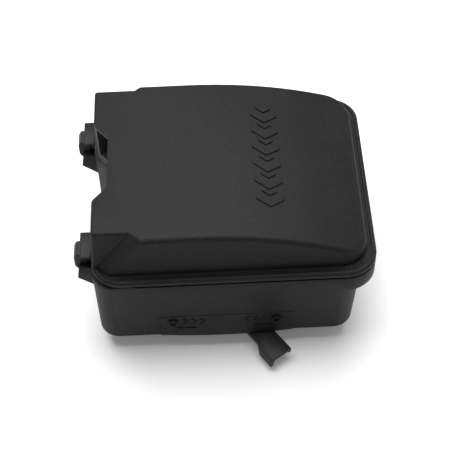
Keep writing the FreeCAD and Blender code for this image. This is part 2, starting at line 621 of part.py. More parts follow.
def make_base():
    body = lofted("BaseBlank", plan("BaseLow", base_corners(d.base_right_low, d.base_y_low),
                                    FLOOR),
                  plan("BaseHigh", base_corners(d.base_right_top, d.base_y_top), -1.0))
    body_round = rounded("BaseRounded", body, d.base_low_round,
                         lambda edge: lies_at(edge, FLOOR.value)
                         and edge.BoundBox.XMin < 80 and not in_recess(edge))
    band_blank = raised("BandBlank", rim, d.band_depth - d.seam_gap, -d.band_depth)
    taper = [(-90.0, -d.band_depth - 1), (d.band_taper_x, -d.band_depth - 1),
             (d.band_taper_x, -d.band_depth + d.band_taper_step), (d.band_end_x, -d.band_end_depth),
             (d.band_end_x - 2, 1.0), (-90.0, 1.0)]
    front_end = raised("BandEndFront", side("BandEndFrontProfile", taper, -HALF_Y - 5),
                       HALF_Y + 5 - d.base_y_top, direction=BACK)
    back_end = raised("BandEndBack", side("BandEndBackProfile", taper, d.base_y_top),
                      HALF_Y + 5 - d.base_y_top, direction=BACK)
    band = cut("Band", band_blank, front_end, back_end)
    top_trim = block("SeamTrim", -100, -100, -d.seam_gap, 200, 200, 5)
    boss = raised("CarbBoss", plan("CarbBossPlan", box_corners(
        d.port_x - d.boss_half_x, d.port_x + d.boss_half_x, -d.boss_half_y, d.boss_half_y,
        d.boss_corner)), d.boss_depth + 1, BOSS_LOW)
    stand = d.boss_depth + d.gasket_thick
    feet = [rod("BracketBoss", d.bracket_x, d.bracket_y, GASKET_LOW, d.bracket_boss, stand + 1),
            rod("FootRight", d.foot_right_x, -d.foot_y, GASKET_LOW, d.foot_radius, stand + 1),
            rod("FootLeft", d.foot_left_x, -d.foot_y, GASKET_LOW, d.foot_radius, stand + 1)]
    chambers = [
        raised("CleanChamber", inset("BaseInside", plan(
            "BaseInsidePlan", base_corners(d.base_right_low, d.base_y_low)), d.base_wall),
            d.base_depth - d.floor_thick - d.seal_height - d.shelf_thick, FLOOR_TOP),
        raised("ShelfOpening", rim_at["shelf_inner"], 8, -d.seal_height - d.shelf_thick),
        raised("SealSeat", rim_at["seal_outer"], 5, -d.seal_height)]
    posts = []
    for x in (d.post_left, d.post_right):
        for y in (-d.post_y, d.post_y):
            posts.append(rod("PostLow", x, y, FLOOR_TOP - 1, d.post_low,
                             d.tray_z - FLOOR_TOP + 1))
            posts.append(rod("PostHigh", x, y, FLOOR_TOP - 1, d.post_high,
                             d.retainer_z - FLOOR_TOP + 1))
    pivot_boss = rod("PivotBoss", d.pivot_x, d.pivot_y, FLOOR_TOP - 1, d.pivot_boss,
                     d.pivot_boss_height + 1)
    holes = [
        rod("Port", d.port_x, 0, BOSS_LOW - 1, d.port_radius, 20),
        rod("BracketBore", d.bracket_x, d.bracket_y, GASKET_LOW - 1, d.grommet_radius,
            stand + d.floor_thick + 2),
        rod("NippleHole", d.nipple_x, d.nipple_y, FLOOR - 1, d.nipple_root, 5),
        rod("PivotHole", d.pivot_x, d.pivot_y, FLOOR - 1, d.pivot_bore,
            d.floor_thick + d.pivot_boss_height)]
    for sign in (-1, 1):
        holes.append(rod("StudHole", d.port_x + d.stud_spacing / 2 * sign, 0, BOSS_LOW - 1,
                         d.collar_radius, 20))
        holes.append(cross_rod("PinHole", d.hinge_x, pin_start(sign), d.hinge_z, d.pin_radius,
                               d.clip_width))
    for x, y in clamp_screw_places():
        holes.append(rod("ClampScrewHole", x, y, FLOOR_TOP - 8, d.screw_thread,
                         d.screw_depth + 1))
    for x in (d.post_left, d.post_right):
        for y in (-d.post_y, d.post_y):
            holes.append(rod("RetainerHole", x, y, d.retainer_z - 10, d.screw_thread, 12))
    cheeks = [cheek for i, sign in enumerate((-1, 1)) for cheek in clip_bracket(i, sign)]
    hollow = cut("BaseHollow", joined("BaseOutside", body_round, band, boss, *feet,
                                      bowed_panel()), *chambers, top_trim)
    finish(cut("Base", joined("BaseFitted", hollow, *posts, pivot_boss, *cheeks), *holes),
           "base_shell")


def in_recess(edge):
    """Edges of the slanted recess in the left side."""
    bounds = edge.BoundBox
    inner = bounds.XMax < d.recess_x.value + 0.1
    mouth = (d.recess_x - d.base_left).value * d.recess_slope.value
    beside = (bounds.YMax < d.recess_back.value + mouth + 1
              and bounds.YMin > d.recess_front.value - mouth - 1)
    return inner and beside


def clamp_screw_places():
    return [(d.port_x + d.clamp_screw_x * i, d.clamp_screw_y * j)
            for i in (-1, 1) for j in (-1, 1)]


# ---------------------------------------------------------------- plates and grids

def new_body(name):
    return doc.addObject("PartDesign::Body", name)


def body_sketch(body, name, role="XY_Plane", height=0.0):
    plane = next(item for item in body.Origin.OriginFeatures if item.Role == role)
    sketch = body.newObject("Sketcher::SketchObject", name)
    sketch.AttachmentSupport = [(plane, "")]
    sketch.MapMode = "FlatFace"
    bind(sketch, "AttachmentOffset.Base.z", height)
    return sketch


def pad(body, sketch, length, name="Pad"):
    feature = body.newObject("PartDesign::Pad", name)
    feature.Profile = sketch
    bind(feature, "Length", length)
    sketch.Visibility = False
    return feature


def pocket(body, sketch, length, name="Pocket", upwards=True):
    doc.recompute()
    before = body.Shape.Volume
    feature = body.newObject("PartDesign::Pocket", name)
    feature.Profile = sketch
    bind(feature, "Length", length)
    feature.Reversed = upwards
    doc.recompute()
    if not body.Shape.Volume < before - 1e-3:
        raise RuntimeError(f"{name} cuts nothing")
    return feature


def make_gasket():
    body = new_body("Gasket")
    sketch = draw(body_sketch(body, "GasketPlan", height=GASKET_LOW), box_corners(
        d.port_x - d.boss_half_x, d.port_x + d.boss_half_x, -d.boss_half_y, d.boss_half_y,
        d.boss_corner))
    circle(sketch, d.port_x, 0, d.port_radius)
    for sign in (-1, 1):
        circle(sketch, d.port_x + d.stud_spacing / 2 * sign, 0, d.stud_hole)
    pad(body, sketch, d.gasket_thick, "GasketSheet")
    finish(body, "carb_gasket")


def make_clamp_plate():
    body = new_body("ClampPlate")
    sketch = draw(body_sketch(body, "ClampPlan", height=FLOOR_TOP), box_corners(
        d.port_x - d.boss_half_x, d.port_x + d.boss_half_x, -d.boss_half_y, d.boss_half_y,
        d.clamp_corner))
    circle(sketch, d.port_x, 0, d.clamp_port)
    for sign in (-1, 1):
        circle(sketch, d.port_x + d.stud_spacing / 2 * sign, 0, d.stud_hole)
    for x, y in clamp_screw_places():
        circle(sketch, x, y, d.screw_thread + d.screw_play)
    pad(body, sketch, d.clamp_thick, "ClampSheet")
    finish(body, "clamp_plate")


def grid_slots(body, name, z, left, count):
    """Two rows of long slots, repeated along X."""
    sketch = body_sketch(body, f"{name}Slot", height=z - 1)
    for sign in (-1, 1):
        middle = (d.grid_slot_length / 2 + d.grid_spine) * sign
        draw(sketch, box_corners(left, left + d.grid_slot, middle - d.grid_slot_length / 2,
                                 middle + d.grid_slot_length / 2, 2.5))
    feature = pocket(body, sketch, d.grid_thick + 2, f"{name}SlotCut")
    pattern = body.newObject("PartDesign::LinearPattern", f"{name}Slots")
    pattern.Originals = [feature]
    axis = next(item for item in body.Origin.OriginFeatures if item.Role == "X_Axis")
    pattern.Direction = (axis, [""])
    pattern.Occurrences = count
    bind(pattern, "Length", d.grid_pitch * (count - 1))
    body.Tip = pattern


def make_tray():
    """Open grid under the foam, with a wall around it."""
    body = new_body("Tray")
    sketch = draw(body_sketch(body, "TrayPlan", height=d.tray_z),
                  box_corners(d.tray_left, d.tray_right, -d.tray_y, d.tray_y, d.tray_corner))
    for x in (d.post_left, d.post_right):
        for y in (-d.post_y, d.post_y):
            circle(sketch, x, y, d.post_high + d.post_play)
    pad(body, sketch, d.grid_thick, "TrayFloor")
    wall = body_sketch(body, "TrayWallPlan", height=d.tray_z)
    draw(wall, box_corners(d.tray_wall_left, d.tray_wall_right, -d.tray_y, d.tray_y, 3))
    draw(wall, box_corners(d.tray_wall_left + d.tray_wall, d.tray_wall_right - d.tray_wall,
                           d.tray_wall - d.tray_y, d.tray_y - d.tray_wall, 1.5))
    pad(body, wall, d.tray_wall_top - d.tray_z, "TrayWall")
    grid_slots(body, "Tray", d.tray_z, d.tray_wall_left + d.grid_edge, 8)
    finish(body, "filter_tray")


def make_retainer():
    """Grid that holds the foam down, screwed to the four posts."""
    body = new_body("Retainer")
    sketch = draw(body_sketch(body, "RetainerPlan", height=d.retainer_z),
                  box_corners(d.tray_left, d.tray_right, -d.tray_y + 0.5, d.tray_y - 0.5,
                              d.tray_corner))
    for x in (d.post_left, d.post_right):
        for y in (-d.post_y, d.post_y):
            circle(sketch, x, y, d.screw_thread + d.screw_play)
    pad(body, sketch, d.grid_thick, "RetainerPlate")
    grid_slots(body, "Retainer", d.retainer_z, d.tray_wall_left + d.grid_edge, 8)
    finish(body, "foam_retainer")


def make_foams():
    """Dense lower foam and open-pored upper foam, both lying in the tray."""
    gap = d.foam_gap
    low = d.tray_z + d.grid_thick + gap
    for name, z, top in (("main_foam", low, d.foam_split - gap),
                         ("pre_filter_foam", d.foam_split, d.retainer_z - gap)):
        body = new_body(f"{name.title().replace('_', '')}")
        inner = d.tray_wall + gap
        sketch = draw(body_sketch(body, f"{name}Plan", height=z), box_corners(
            d.tray_wall_left + inner, d.tray_wall_right - inner, inner - d.tray_y,
            d.tray_y - inner, 1.5))
        pad(body, sketch, top - z, f"{name}Block")
        finish(body, name)


def make_seal():
    seal = cut("Seal", raised("SealOuter", inset("SealEdge", rim, d.seal_outer + d.seal_play),
                              d.seal_height, -d.seal_height),
               raised("SealInner", rim_at["seal_inner"], 10, -d.seal_height - 1))
    finish(seal, "rim_seal")


# ---------------------------------------------------------------- turned pieces

def turned(name, profile):
    """A piece turned about the Z axis from (radius, z) corners."""
    sketch = side(f"{name}Profile", profile)
    solid = doc.addObject("Part::Revolution", name)
    solid.Source = sketch
    solid.Axis = UP
    solid.Angle = 360
    solid.Solid = True
    return solid


def group(name, *solids):
    whole = doc.addObject("Part::Compound", name)
    whole.Links = list(solids)
    return whole


def screw(name, x, y, seat, depth):
    """A self-tapping screw whose domed head bears on the height seat."""
    tip = seat - depth
    top = seat + d.screw_head_thick
    drive = d.screw_head * 0.3
    solid = turned(name, [(0, tip), (d.screw_thread * 0.4, tip), (d.screw_thread, tip + 1),
                          (d.screw_thread, seat), (d.screw_head, seat),
                          (d.screw_head, top - 0.6), (d.screw_head * 0.7, top), (drive, top),
                          (drive, top - 0.9), (0, top - 0.9)])
    return place(solid, x, y, 0)


def make_fasteners():
    seat = d.retainer_z + d.grid_thick
    finish(group("RetainerScrews", *[
        screw("RetainerScrew", x, y, seat, d.screw_depth) for x in (d.post_left, d.post_right)
        for y in (-d.post_y, d.post_y)]), "retainer_screws")
    seat = FLOOR_TOP + d.clamp_thick
    finish(group("ClampScrews", *[screw("ClampScrew", x, y, seat, d.screw_depth)
                                  for x, y in clamp_screw_places()]), "clamp_screws")
    collars = []
    for sign in (-1, 1):
        tube = turned("StudCollar", [(d.stud_hole, BOSS_LOW), (d.collar_radius, BOSS_LOW),
                                     (d.collar_radius, FLOOR_TOP), (d.stud_hole, FLOOR_TOP)])
        collars.append(place(tube, d.port_x + d.stud_spacing / 2 * sign, 0, 0))
    finish(group("StudCollars", *collars), "stud_collars")
    grommet = turned("Grommet", [
        (d.bracket_collar, GASKET_LOW + 0.3), (d.grommet_radius, GASKET_LOW + 0.3),
        (d.grommet_radius, FLOOR_TOP), (d.grommet_flange, FLOOR_TOP),
        (d.grommet_flange, FLOOR_TOP + d.inner_flange, d.inner_flange_round),
        (d.bracket_collar, FLOOR_TOP + d.inner_flange)])
    finish(group("GrommetPlaced", place(grommet, d.bracket_x, d.bracket_y, 0)),
           "bracket_grommet")
    collar = turned("BracketCollar", [
        (d.bracket_hole, GASKET_LOW), (d.bracket_collar, GASKET_LOW),
        (d.bracket_collar, FLOOR_TOP + 3), (d.bracket_hole, FLOOR_TOP + 3)])
    finish(group("BracketCollarPlaced", place(collar, d.bracket_x, d.bracket_y, 0)),
           "bracket_collar")
    nipple = turned("Nipple", [
        (d.nipple_bore, GASKET_LOW + 1), (d.nipple_radius - 0.8, GASKET_LOW + 1),
        (d.nipple_radius, GASKET_LOW + 2.4), (d.nipple_radius, FLOOR), (d.nipple_root, FLOOR),
        (d.nipple_root, FLOOR_TOP), (d.nipple_head, FLOOR_TOP),
        (d.nipple_head, FLOOR_TOP + d.inner_flange, d.inner_flange_round),
        (d.nipple_bore, FLOOR_TOP + d.inner_flange)])
    finish(group("NipplePlaced", place(nipple, d.nipple_x, d.nipple_y, 0)), "breather_nipple")


# ---------------------------------------------------------------- clips

def clip_profiles():
    """Side views of a clip: top arm, hook over the lug, plate down to the hinge, finger pad."""
    join = d.arm_low + 0.4
    return {
        "arm": (d.clip_width, [(d.arm_inner, d.arm_low), (d.clip_outer, d.arm_low),
                               (d.clip_outer, d.arm_top, 0.9), (d.arm_inner, d.arm_top, 0.3)]),
        "hook": (d.clip_waist, [(d.hook_inner, join), (d.hook_inner, d.hook_high),
                                (d.clip_inner, d.hook_low), (d.clip_outer + 1, d.hook_low),
                                (d.clip_outer + 1, join)]),
        "plate": (d.clip_waist, [(d.clip_inner, join), (d.clip_inner, d.hinge_z),
                                 (d.clip_outer, d.hinge_z), (d.clip_outer, join)]),
        "pad": (d.clip_waist, [(d.clip_outer + 0.5, d.pad_high), (d.clip_outer + 0.5, d.pad_low),
                               (d.pad_outer + 1.2, d.pad_low, 1.0),
                               (d.pad_outer, d.pad_low + 2.8, 1.5),
                               (d.pad_outer, d.pad_high - 2.7, 1.5),
                               (d.pad_outer + 1.5, d.pad_high, 1.0)])}


def make_clip(name, sign):
    centre = d.clip_y * sign
    tag = name.title().replace("_", "")
    pieces = []
    for part, (width, outline) in clip_profiles().items():
        piece = raised(f"{tag}{part.title()}", side(f"{tag}{part.title()}Profile", outline,
                                                    centre - width / 2), width, direction=BACK)
        if part == "pad":
            soft_from = (d.pad_outer + 1.3).value
            piece = rounded(f"{tag}PadSoft", piece, d.pad_soft,
                            lambda edge: edge.BoundBox.YLength < 0.01
                            and edge.BoundBox.XMax < soft_from)
        pieces.append(piece)
    pieces.append(cross_rod(f"{tag}Eye", d.hinge_x, centre - d.clip_waist / 2, d.hinge_z,
                            d.eye_radius, d.clip_waist))
    bore = cross_rod(f"{tag}Bore", d.hinge_x, centre - d.clip_width, d.hinge_z,
                     d.pin_radius + d.pin_play, d.clip_width * 2)
    finish(cut(tag, joined(f"{tag}Blank", *pieces), bore), name)


def pin_start(sign):
    """The blind end of a hinge pin, inside the bracket's front cheek."""
    return d.clip_y * sign - d.clip_width / 2 + d.pin_blind


def make_pin(name, sign):
    tag = name.title().replace("_", "")
    pin = cross_rod(f"{tag}Rod", d.hinge_x, pin_start(sign), d.hinge_z, d.pin_radius,
                    d.clip_width - d.pin_blind)
    head = cross_rod(f"{tag}Head", d.hinge_x, d.clip_y * sign + d.clip_width / 2,
                     d.hinge_z, d.pin_head, d.pin_head_thick)
    finish(joined(tag, pin, head), name)


# ---------------------------------------------------------------- choke lever

def make_lever():
    """Flat lever under the base: a forked inner end and two rails along its finger end."""
    body = new_body("Lever")
    top = FLOOR - d.lever_drop
    web = body_sketch(body, "LeverWeb", height=top - d.lever_thick)
    half, tip, hip = d.lever_half, -d.lever_length, size(2.0)
    fork = [(d.fork_half, d.fork_end, 1.5), (d.fork_slot, d.fork_end, 0.6),
            (d.fork_slot, d.fork_root)]
    draw(web, [(-half, tip), (half, tip), (half, hip, 4), *fork,
               *[(-corner[0], *corner[1:]) for corner in reversed(fork)], (-half, hip, 4)])
    circle(web, 0, 0, d.shoulder_radius + d.shoulder_play)
    pad(body, web, d.lever_thick, "LeverPlate")
    # the left rail flares outwards as it goes down, the right one is shallow and upright
    for sign, name, depth, flare in ((-1, "Left", d.rail_left, d.rail_flare),
                                     (1, "Right", d.rail_right, size(0.0))):
        sections = []
        for height, start, spread in ((top, d.rail_from, size(0.0)),
                                      (top - depth, d.rail_low_from, flare)):
            outer = (half + spread) * sign
            inner = outer - d.rail_thick * sign
            sketch = body_sketch(body, f"Lever{name}Rail{len(sections)}", height=height)
            draw(sketch, [(outer, -start), (inner, -start), (inner, tip), (outer, tip)])
            sections.append(sketch)
        rail = body.newObject("PartDesign::AdditiveLoft", f"Lever{name}Rail")
        rail.Profile = sections[0]
        rail.Sections = [sections[1]]
        rail.Ruled = True
    body.Label = "choke_lever"
    body.Placement = Placement(Vector(), Rotation(UP, d.lever_angle.value))
    place(body, d.pivot_x - d.port_x, d.pivot_y, SEAM_TO_GASKET)
    finished["choke_lever"] = body


def make_lever_pivot():
    top = FLOOR - d.lever_drop
    under = top - d.lever_thick
    bore_top = FLOOR + d.floor_thick + d.pivot_boss_height
    bolt = turned("PivotScrew", [
        (0, under - 2.6), (2.2, under - 2.6), (2.2, under - 3.4), (5.0, under - 3.4),
        (d.pivot_head, under - 2.4), (d.pivot_head, under - 0.1),
        (d.shoulder_radius, under - 0.1), (d.shoulder_radius, FLOOR), (d.pivot_bore, FLOOR),
        (d.pivot_bore, bore_top - 2), (1.6, bore_top - 1), (0, bore_top - 1)])
    finish(group("PivotScrewPlaced", place(bolt, d.pivot_x, d.pivot_y, 0)),
           "choke_pivot_screw")
    inner = d.shoulder_radius + 0.4
    washer = turned("WaveWasher", [(inner, top), (d.washer_radius, top),
                                   (d.washer_radius, FLOOR), (inner, FLOOR)])
    finish(group("WaveWasherPlaced", place(washer, d.pivot_x, d.pivot_y, 0)),
           "choke_wave_washer")


# ---------------------------------------------------------------- intake snorkel

def make_snorkel():
    """Rectangular duct behind the intake window, with an ear under the roof."""
    half, wall = d.duct_width / 2, d.duct_wall
    roof = d.cover_height - d.cover_wall
    tube = cut("DuctTube",
               block("DuctOuter", -d.duct_nose, -half, d.duct_low, d.duct_length,
                     d.duct_width, d.duct_high - d.duct_low),
               block("DuctInner", -10, -half + wall, d.duct_low + wall, 40,
                     d.duct_width - wall * 2, d.duct_high - d.duct_low - wall * 2))
    ear_low = d.duct_high - wall
    ear = block("DuctEar", d.duct_ear_from, -half, ear_low, d.duct_ear, d.duct_width,
                roof - ear_low - 0.1)
    holes = [rod("EarHole", d.ear_hole_x, y, d.duct_high - 2, d.ear_hole, 10)
             for y in (-d.ear_hole_y, d.ear_hole_y)]
    whole = cut("DuctWhole", joined("DuctBlank", tube, ear), *holes)
    finish(group("Duct", at_window(whole)), "intake_snorkel")


def main():
    make_base()
    make_cover()
    make_seal()
    make_tray()
    make_foams()
    make_retainer()
    make_gasket()
    make_clamp_plate()
    make_fasteners()
    for name, sign in (("front", -1), ("rear", 1)):
        make_clip(f"clip_{name}", sign)
        make_pin(f"clip_pin_{name}", sign)
    make_lever()
    make_lever_pivot()
    make_snorkel()
    doc.recompute()
    for item in doc.Objects:
        if {"Invalid", "Error"} & set(item.State):
            raise RuntimeError(f"{item.Label} failed: {item.State}")
    for name, item in finished.items():
        if item.Shape.isNull() or not item.Shape.isValid():
            raise RuntimeError(f"{name} has no valid shape")
    os.makedirs("parts", exist_ok=True)
    for name, item in finished.items():
        item.Shape.exportStep(f"parts/{name}.step")
        box = item.Shape.BoundBox
        print(f"{name}: {len(item.Shape.Solids)} solid(s), {item.Shape.Volume:.0f} mm3, "
              f"x {box.XMin:.1f}..{box.XMax:.1f}, y {box.YMin:.1f}..{box.YMax:.1f}, "
              f"z {box.ZMin:.1f}..{box.ZMax:.1f}")


main()
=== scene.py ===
"""Looks of a low-profile air filter housing for a small engine."""
import json
import math
import bmesh
import bpy
from mathutils import Matrix, Vector

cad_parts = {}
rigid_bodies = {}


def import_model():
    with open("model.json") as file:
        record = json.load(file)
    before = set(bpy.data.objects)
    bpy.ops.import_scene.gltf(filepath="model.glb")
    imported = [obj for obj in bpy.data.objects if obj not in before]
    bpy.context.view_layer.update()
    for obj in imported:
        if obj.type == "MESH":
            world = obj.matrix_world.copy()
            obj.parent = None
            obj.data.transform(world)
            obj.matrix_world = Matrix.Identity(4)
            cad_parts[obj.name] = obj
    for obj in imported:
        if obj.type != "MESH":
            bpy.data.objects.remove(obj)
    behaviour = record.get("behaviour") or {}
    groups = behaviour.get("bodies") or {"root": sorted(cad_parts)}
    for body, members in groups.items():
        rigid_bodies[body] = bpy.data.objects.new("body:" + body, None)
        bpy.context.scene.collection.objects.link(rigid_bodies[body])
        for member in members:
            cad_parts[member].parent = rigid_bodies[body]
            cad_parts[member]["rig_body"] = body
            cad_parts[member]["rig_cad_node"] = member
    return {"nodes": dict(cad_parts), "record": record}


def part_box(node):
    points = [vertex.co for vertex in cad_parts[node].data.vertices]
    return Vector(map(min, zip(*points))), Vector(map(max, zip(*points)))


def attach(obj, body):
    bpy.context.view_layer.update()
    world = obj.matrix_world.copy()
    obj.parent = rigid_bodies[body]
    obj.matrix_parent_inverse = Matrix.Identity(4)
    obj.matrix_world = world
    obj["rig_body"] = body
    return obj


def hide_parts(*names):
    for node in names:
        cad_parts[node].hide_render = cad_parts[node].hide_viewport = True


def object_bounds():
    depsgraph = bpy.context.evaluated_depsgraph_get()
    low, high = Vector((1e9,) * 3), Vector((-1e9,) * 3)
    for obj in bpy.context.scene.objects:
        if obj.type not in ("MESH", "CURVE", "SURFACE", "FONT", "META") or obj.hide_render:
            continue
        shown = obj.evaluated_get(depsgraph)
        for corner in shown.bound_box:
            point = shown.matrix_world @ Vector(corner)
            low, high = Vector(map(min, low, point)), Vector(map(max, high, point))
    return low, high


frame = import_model()
cad_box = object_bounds()
nodes = frame["nodes"]
MM = 0.001

# ---------------------------------------------------------------- where things are, from the frame

HALF_FLANGE = 75 * MM
SEAM_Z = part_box("rim_seal")[1].z
MIDDLE_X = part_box("cover_shell")[1].x - HALF_FLANGE
FLOOR_Z = cad_box[0].z


# ---------------------------------------------------------------- shader maths

class Wire:
    """A shader socket; arithmetic on it adds Math nodes."""

    def __init__(self, graph, socket):
        self.graph = graph
        self.socket = socket

    def maths(self, operation, other):
        return self.graph.add("ShaderNodeMath", {"operation": operation}, [self, other])

    def __add__(self, other):
        return self.maths("ADD", other)

    def __rsub__(self, other):
        return self.graph.add("ShaderNodeMath", {"operation": "SUBTRACT"}, [other, self])

    def __mul__(self, other):
        return self.maths("MULTIPLY", other)

    def step(self, low, high):
        """0 below low, 1 above high, smooth between."""
        return self.graph.add("ShaderNodeMapRange", {"interpolation_type": "SMOOTHSTEP"},
                              {"Value": self, "From Min": low, "From Max": high})


class Finish:
    """A material with a Principled shader, and one method that adds any node."""

    def __init__(self, name, **constant):
        self.material = bpy.data.materials.new(name)
        self.material.use_nodes = True
        self.tree = self.material.node_tree
        self.shader = self.tree.nodes["Principled BSDF"]
        for socket, value in constant.items():
            self.shader.inputs[socket.replace("_", " ")].default_value = value
        self.place = self.add("ShaderNodeTexCoord", {}, {}, "Object")

    def add(self, kind, settings, inputs=(), output=0):
        node = self.tree.nodes.new(kind)
        for field, value in settings.items():
            setattr(node, field, value)
        pairs = inputs.items() if isinstance(inputs, dict) else enumerate(inputs)
        for key, value in pairs:
            if isinstance(value, Wire):
                self.tree.links.new(value.socket, node.inputs[key])
            else:
                node.inputs[key].default_value = value
        return Wire(self, node.outputs[output])

    def noise(self, size, detail=3.0, rough=0.55, stretch=(1, 1, 1)):
        """Noise whose blotches are about size metres across."""
        where = self.place
        if stretch != (1, 1, 1):
            where = self.add("ShaderNodeMapping", {}, {"Vector": where, "Scale": stretch})
        return self.add("ShaderNodeTexNoise", {}, {"Vector": where, "Scale": 1.0 / size,
                                                   "Detail": detail, "Roughness": rough})

    def cell_walls(self, size):
        """Distance to the nearest wall of cells about size metres across."""
        return self.add("ShaderNodeTexVoronoi", {"feature": "DISTANCE_TO_EDGE"},
                        {"Vector": self.place, "Scale": 1.0 / size}, "Distance")

    def blend(self, share, first, second):
        """Mixes two colours, by a wire or a number."""
        return self.add("ShaderNodeMix", {"data_type": "RGBA"},
                        {0: share, 6: first, 7: second}, 2)

    def feed(self, socket, wire):
        self.tree.links.new(wire.socket, self.shader.inputs[socket])

    def bump(self, height, depth):
        """Relief of about depth metres from a height between 0 and 1."""
        self.feed("Normal", self.add("ShaderNodeBump", {}, {
            "Height": height, "Distance": depth, "Strength": 1.0}))


def grey(level, warm=0.0):
    """A near-neutral colour, redder and less blue with warm."""
    return (level * (1 + warm), level, level * (1 - warm), 1.0)


def moulded(name, level, rough, warm=0.0, grain=0.35, relief=0.05, shine=0.3, mottle=0.1):
    """Spark-eroded black plastic: a fine grain with pale tips, rubbed patches and dust."""
    finish = Finish(name, Specular_IOR_Level=shine)
    fine = finish.noise(grain * MM, 2.0, 0.6)
    coarse = finish.noise(1.6 * MM, 2.0)
    cloud = finish.noise(38 * MM, 3.0)
    tips = fine.step(0.52, 0.80)
    tone = finish.blend(cloud.step(0.3, 0.7), grey(level * 0.92, warm), grey(level * 1.10, warm))
    specks = finish.blend(tips * 0.8, tone, grey(level * 2.6, warm))
    rubbed = finish.noise(4.5 * MM, 4.0, 0.65).step(0.48, 0.66)
    specks = finish.blend(rubbed * mottle, specks, grey(level * 2.0, warm))
    dust = finish.noise(0.9 * MM, 1.0).step(0.74, 0.80)
    finish.feed("Base Color", finish.blend(dust * 0.22, specks, grey(level * 3.0, 0.02)))
    finish.feed("Roughness", cloud * 0.10 + fine * 0.08 + (rough - 0.09))
    finish.bump(fine * 0.75 + coarse * 0.25, relief * MM)
    return finish.material


def satin_steel(name, colour, rough=0.32):
    finish = Finish(name, Metallic=1.0)
    brushed = finish.noise(0.3 * MM, 3.0, 0.6, stretch=(1, 1, 12))
    cloud = finish.noise(6 * MM, 2.0)
    dark = tuple(channel * 0.72 for channel in colour) + (1.0,)
    finish.feed("Base Color", finish.blend(cloud.step(0.35, 0.7), dark, (*colour, 1.0)))
    finish.feed("Roughness", brushed * 0.18 + (rough - 0.09))
    finish.bump(brushed, 0.01 * MM)
    return finish.material


def foam(name, level, pore, warm=0.0):
    """Open-celled foam: paler struts, and the pores between them painted near-black as painted
    shade.
    """
    finish = Finish(name, Roughness=0.9, Sheen_Weight=0.2)
    # 1 in the middle of each cell and 0 at its walls: the pore mask, used both for painted shade
    # and for the bump
    wall = finish.cell_walls(pore * MM).step(0.02, 0.28)
    stain = finish.noise(22 * MM, 3.0).step(0.35, 0.75)
    strut = finish.blend(stain, grey(level, warm), grey(level * 0.62, warm + 0.05))
    # Painted shade: the middle of each cell is painted near-black, as the shade inside a pore; the
    # same mask sinks the pores by bump
    finish.feed("Base Color", finish.blend(wall * 0.85, strut, grey(level * 0.12)))
    finish.bump(1 - wall, 0.5 * pore * MM)
    return finish.material


def rubber(name, level=0.02):
    finish = Finish(name)
    fine = finish.noise(0.5 * MM, 2.0)
    bloom = finish.noise(9 * MM, 3.0)
    finish.feed("Base Color", finish.blend(bloom.step(0.45, 0.8), grey(level), grey(level * 1.9)))
    finish.feed("Roughness", bloom * 0.2 + 0.5)
    finish.bump(fine, 0.02 * MM)
    return finish.material


def fibre_sheet(name):
    finish = Finish(name, Roughness=0.85)
    strands = finish.noise(0.6 * MM, 4.0, 0.7, stretch=(1, 5, 1))
    finish.feed("Base Color", finish.blend(strands.step(0.3, 0.7), (0.10, 0.11, 0.10, 1),
                                           (0.22, 0.23, 0.21, 1)))
    finish.bump(strands, 0.05 * MM)
    return finish.material


MATERIALS = {
    "housing_plastic": moulded("MouldedHousing", 0.0115, 0.52, grain=0.9, relief=0.34, shine=0.13),
    "clip_plastic": moulded("MouldedClip", 0.0125, 0.45, warm=0.03, grain=0.25, relief=0.02,
                            shine=0.17),
    "lever_plastic": moulded("MouldedLever", 0.013, 0.45, warm=0.02, grain=0.5, relief=0.08,
                             shine=0.25, mottle=0.55),
    "tray_plastic": moulded("MouldedTray", 0.022, 0.45, grain=0.3, relief=0.03, shine=0.3),
    "snorkel_plastic": moulded("MouldedSnorkel", 0.040, 0.5, grain=0.3, relief=0.03, shine=0.3),
    "seal_rubber": rubber("SealRubber"),
    "fine_foam": foam("FineFoam", 0.22, 0.8, 0.02),
    "coarse_foam": foam("CoarseFoam", 0.09, 1.7, 0.04),
    "zinc_steel": satin_steel("ZincSteel", (0.62, 0.62, 0.58)),
    "spring_steel": satin_steel("SpringSteel", (0.42, 0.42, 0.42), 0.26),
    "gasket_fibre": fibre_sheet("GasketFibre"),
}


def dress(piece, slot):
    piece.data.materials.clear()
    piece.data.materials.append(MATERIALS[slot])
    return piece


for entry in frame["record"]["subparts"]:
    dress(nodes[entry["node"]], entry["material_slot"])


# ---------------------------------------------------------------- modelling helpers

def only(piece):
    """Selects one piece and nothing else."""
    bpy.ops.object.select_all(action="DESELECT")
    piece.select_set(True)
    bpy.context.view_layer.objects.active = piece


def smooth(piece, degrees):
    only(piece)
    bpy.ops.object.shade_smooth_by_angle(angle=math.radians(degrees))
    return piece


def modify(piece, kind, **settings):
    """Adds a modifier, sets it and applies it."""
    only(piece)
    modifier = piece.modifiers.new(kind.title(), kind)
    for field, value in settings.items():
        setattr(modifier, field, value)
    bpy.ops.object.modifier_apply(modifier=modifier.name)


